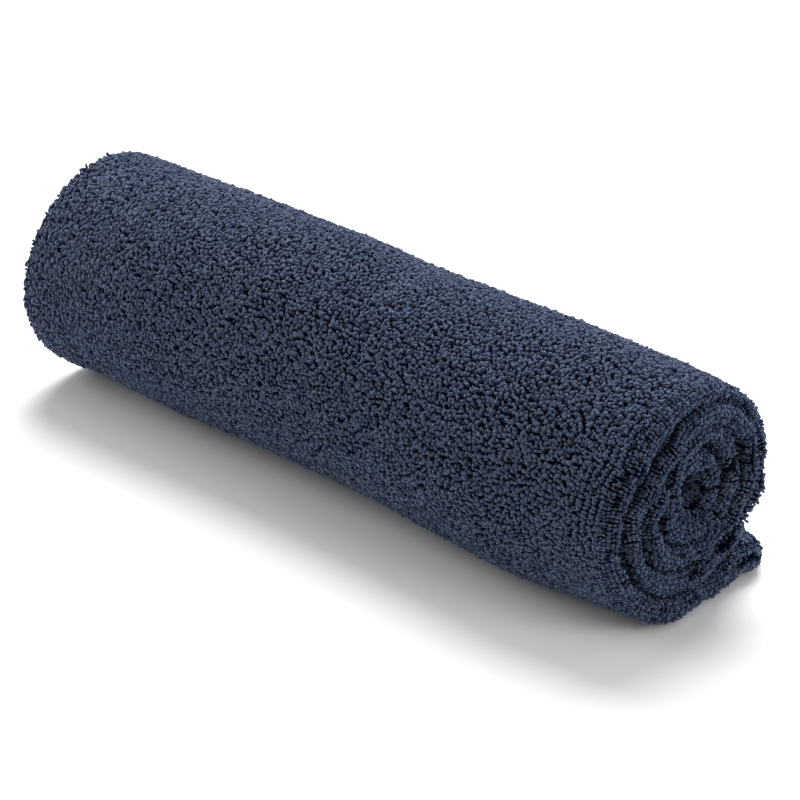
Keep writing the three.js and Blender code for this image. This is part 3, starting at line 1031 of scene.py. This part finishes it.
def add_pile(name, cloth, sizes, places, draw, material):
    """One joined mesh of loops, each turned, sized and leant a little its own way."""
    template, faces = loop_template()
    turn, reach, over = places["turn"], places["reach"], places["over"]
    shape = template[None] + draw.normal(0, LUMPY, (len(turn), *template.shape))
    here, along_reach, along_turn, outwards = cloth.axes(turn, reach)
    count = len(turn)
    edge = np.where((over >= 0)[:, None], np.sign(reach)[:, None] * along_reach, -along_turn)
    angle = np.abs(over)[:, None]
    normal = unit(np.cos(angle) * outwards + np.sin(angle) * edge)
    heading = places["heading"][:, None]
    long_way = np.cos(heading) * along_reach + np.sin(heading) * along_turn
    upright = (long_way * normal).sum(axis=1, keepdims=True) * normal
    long_way = unit(long_way - upright + TINY * along_turn)
    side_way = np.cross(normal, long_way)
    vary = draw.normal(1, VARIED, (3, count)).clip(*VARIED_RANGE)
    long_size = sizes.loop_length / MM / 2 * vary[0] * places["stretch"]
    side_size = sizes.loop_width / MM / 2 * vary[1] * places["broad"]
    around = turn * TURN_LENGTH
    swell = 1 + SWELL * ripple(around, reach, SWELL_LENGTH, seed=11)
    tall = cloth.pile * vary[2] * places["tall"] * swell
    clumps = np.stack([ripple(around, reach, CLUMP_LENGTH, seed=seed) for seed in (15, 16)])
    lean = (draw.normal(0, LEAN, (2, count)) + CLUMPED * clumps) * tall * (1 - places["neat"])
    foot = here + normal * (cloth.thickness / 2 - FOOT)
    long_part, side_part, height = (shape[:, :, column, None] for column in range(3))
    points = (
        foot[:, None]
        + long_way[:, None] * long_part * long_size[:, None, None]
        + side_way[:, None] * side_part * side_size[:, None, None]
        + normal[:, None] * height * (tall + FOOT)[:, None, None]
        + (long_way * lean[0][:, None] + side_way * lean[1][:, None])[:, None] * height
    )
    points = points.reshape(-1, 3)
    points[:, 2] = np.maximum(points[:, 2], FLOOR_CLEAR)
    loops = (faces[None] + np.arange(count)[:, None, None] * len(template)).reshape(-1, 3)
    flat = np.stack([np.interp(turn, cloth.turns, cloth.lengths), reach], axis=1)
    flat = (flat[:, None] + template[None, :, :2] * LOOP_ON_MAP).reshape(-1, 2)
    low, high = flat.min(axis=0), flat.max(axis=0)
    obj = mesh_object(name, points, loops, (flat - low) / (high - low), material)
    soft = places["soft"][:, None]
    # Painted shade: loop_height darkens each loop towards its foot; brushed loops get lighter shade,
    # dimmer tips.
    heights = (template[None, :, 2] ** (1 - SOFT_SHADE * soft) * (1 - SOFT_DIM * soft)).ravel()
    tones = np.repeat(draw.uniform(-1, 1, count), len(template))
    # Painted shade on low loops: the lower a loop stands, the more it takes the ground's shade colour.
    stands = ((places["tall"] - STAND_FROM) / STAND_OVER).clip(0, 1) ** STAND_POWER
    stands = np.repeat(stands, len(template))
    for attribute, values in (("loop_height", heights), ("loop_tone", tones), ("loop_stand", stands)):
        layer = obj.data.attributes.new(attribute, "FLOAT", "POINT")
        layer.data.foreach_set("value", values.astype(np.float32))
    return obj


def ride_on_roll(obj, *replaced):
    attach(obj, "root")
    if replaced:
        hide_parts(*replaced)


def cloth_grid(cloth):
    """The middle of the cloth's thickness, from the loose end to the core and from hem to fold to hem."""
    loose = np.linspace(cloth.edge_turn, 0, LOOSE_STEPS, endpoint=False)
    wound = np.linspace(0, LAST_TURN, round(STEPS_PER_TURN * LAST_TURN) + 1)
    turns = np.concatenate([loose, wound])
    shares = np.linspace(0, 1, SIDE_STATIONS)
    arc = np.linspace(-0.5, 0.5, FOLD_STATIONS + 1)[1:-1]
    rows = []
    for turn in turns:
        half, hem = cloth.fold_arc / 2, cloth.hem_reach(turn)
        ply = hem + (half - hem) * shares
        reach = np.concatenate([-ply, arc * cloth.fold_arc, ply[::-1]])
        rows.append(np.stack([np.full(len(reach), turn), reach], axis=1))
    grid = np.array(rows)
    points = cloth.middle(grid[..., 0], grid[..., 1])
    down, over = grid.shape[:2]
    index = np.arange(down * over).reshape(down, over)
    corners = (index[:-1, :-1], index[:-1, 1:], index[1:, 1:], index[1:, :-1])
    faces = np.stack([corner.ravel() for corner in corners], axis=1)
    along = np.interp(grid[..., 0], cloth.turns, cloth.lengths) / cloth.lengths[-1]
    across = grid[..., 1] / cloth.length / 2 / MAP_MARGIN + 0.5
    flat = np.stack([along, across], axis=-1)
    return points.reshape(-1, 3), faces, flat.reshape(-1, 2)


class TOWEL_OT_add_pile(bpy.types.Operator):
    """Stands the loops of yarn on the rolled cloth, wherever they can be seen"""

    bl_idname = "towel.add_pile"
    bl_label = "Add pile"

    def execute(self, context):
        sizes = context.scene.towel_sizes
        cloth = RolledCloth(sizes)
        draw = np.random.default_rng(SEED)
        material = pile_material(context.scene.towel_finish)
        for name, places in Pile(cloth, sizes, draw).pieces().items():
            ride_on_roll(add_pile(name, cloth, sizes, places, draw, material))
        return {"FINISHED"}


class TOWEL_OT_add_cloth(bpy.types.Operator):
    """Lays the ground cloth, folded in half and rolled up, on the frame's own winding"""

    bl_idname = "towel.add_cloth"
    bl_label = "Add cloth"

    def execute(self, context):
        sizes = context.scene.towel_sizes
        cloth = RolledCloth(sizes)
        points, faces, uv = cloth_grid(cloth)
        obj = mesh_object("towel_cloth", points, faces, uv, cloth_material(context.scene.towel_finish))
        solid = obj.modifiers.new("thickness", "SOLIDIFY")
        solid.thickness = sizes.cloth_thickness
        solid.offset = 0
        bpy.ops.object.modifier_apply(modifier=solid.name)
        ride_on_roll(obj, ROLL_NODE)
        return {"FINISHED"}


class TOWEL_OT_set_stage(bpy.types.Operator):
    """Lays a plain pale floor, hangs soft lights and sets the camera"""

    bl_idname = "towel.set_stage"
    bl_label = "Set stage"

    def execute(self, context):
        stage = context.scene.towel_stage
        deselect()
        bpy.ops.mesh.primitive_plane_add(size=FLOOR_SIDE, location=(0, 0, -FLOOR_DROP))
        floor = context.object
        floor.name = "floor"
        floor.data.materials.append(floor_material(stage))
        world = bpy.data.worlds.new("studio")
        world.use_nodes = True
        background = world.node_tree.nodes["Background"]
        background.inputs["Color"].default_value = (1, 1, 1, 1)
        background.inputs["Strength"].default_value = stage.surround
        context.scene.world = world
        context.scene.view_settings.view_transform = "Standard"
        for name, (size, place) in LIGHTS.items():
            self.add_light(f"{name}_light", getattr(stage, f"{name}_power"), size, place)
        self.add_camera(context.scene, stage)
        return {"FINISHED"}

    def add_light(self, name, power, size, place):
        light = bpy.data.lights.new(name, "AREA")
        light.shape, light.size, light.energy = "DISK", size, power
        obj = bpy.data.objects.new(name, light)
        obj.location = place
        obj.rotation_euler = (-Vector(place)).to_track_quat("-Z", "Y").to_euler()
        bpy.context.scene.collection.objects.link(obj)

    def add_camera(self, scene, stage):
        turn, rise = stage.view_azimuth, stage.view_elevation
        back = Vector((math.sin(turn) * math.cos(rise), -math.cos(turn) * math.cos(rise), math.sin(rise)))
        right = Vector((math.cos(turn), math.sin(turn), 0))
        up = back.cross(right)
        data = bpy.data.cameras.new("camera")
        data.lens, data.sensor_width = stage.view_lens, SENSOR_WIDTH
        data.clip_start, data.clip_end = VIEW_CLIP
        camera = bpy.data.objects.new("camera", data)
        turned = Matrix((right, up, back)).transposed().to_4x4()
        place = right * stage.view_aside + up * stage.view_up + back * stage.view_distance
        camera.matrix_world = Matrix.Translation(place) @ turned
        scene.collection.objects.link(camera)
        scene.camera = camera


class TOWEL_PT_panel(bpy.types.Panel):
    bl_label = "Rolled towel"
    bl_space_type = "VIEW_3D"
    bl_region_type = "UI"
    bl_category = "Towel"

    def draw(self, context):
        scene = context.scene
        for operator in OPERATORS:
            self.layout.operator(operator.bl_idname)
        for group in (scene.towel_sizes, scene.towel_finish, scene.towel_stage):
            for name in group.__annotations__:
                self.layout.prop(group, name)


OPERATORS = (TOWEL_OT_add_pile, TOWEL_OT_add_cloth, TOWEL_OT_set_stage)
GROUPS = {"towel_sizes": TowelSizes, "towel_finish": TowelColoursAndShade, "towel_stage": TowelStage}


def register():
    for cls in (*GROUPS.values(), *OPERATORS, TOWEL_PT_panel):
        bpy.utils.register_class(cls)
    for name, cls in GROUPS.items():
        setattr(bpy.types.Scene, name, bpy.props.PointerProperty(type=cls))


def unregister():
    for name in GROUPS:
        delattr(bpy.types.Scene, name)
    for cls in (TOWEL_PT_panel, *OPERATORS[::-1], *list(GROUPS.values())[::-1]):
        bpy.utils.unregister_class(cls)


def main():
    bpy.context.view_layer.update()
    register()
    bpy.ops.towel.add_pile()
    bpy.ops.towel.add_cloth()
    bpy.ops.towel.set_stage()


if __name__ == "__main__":
    main()
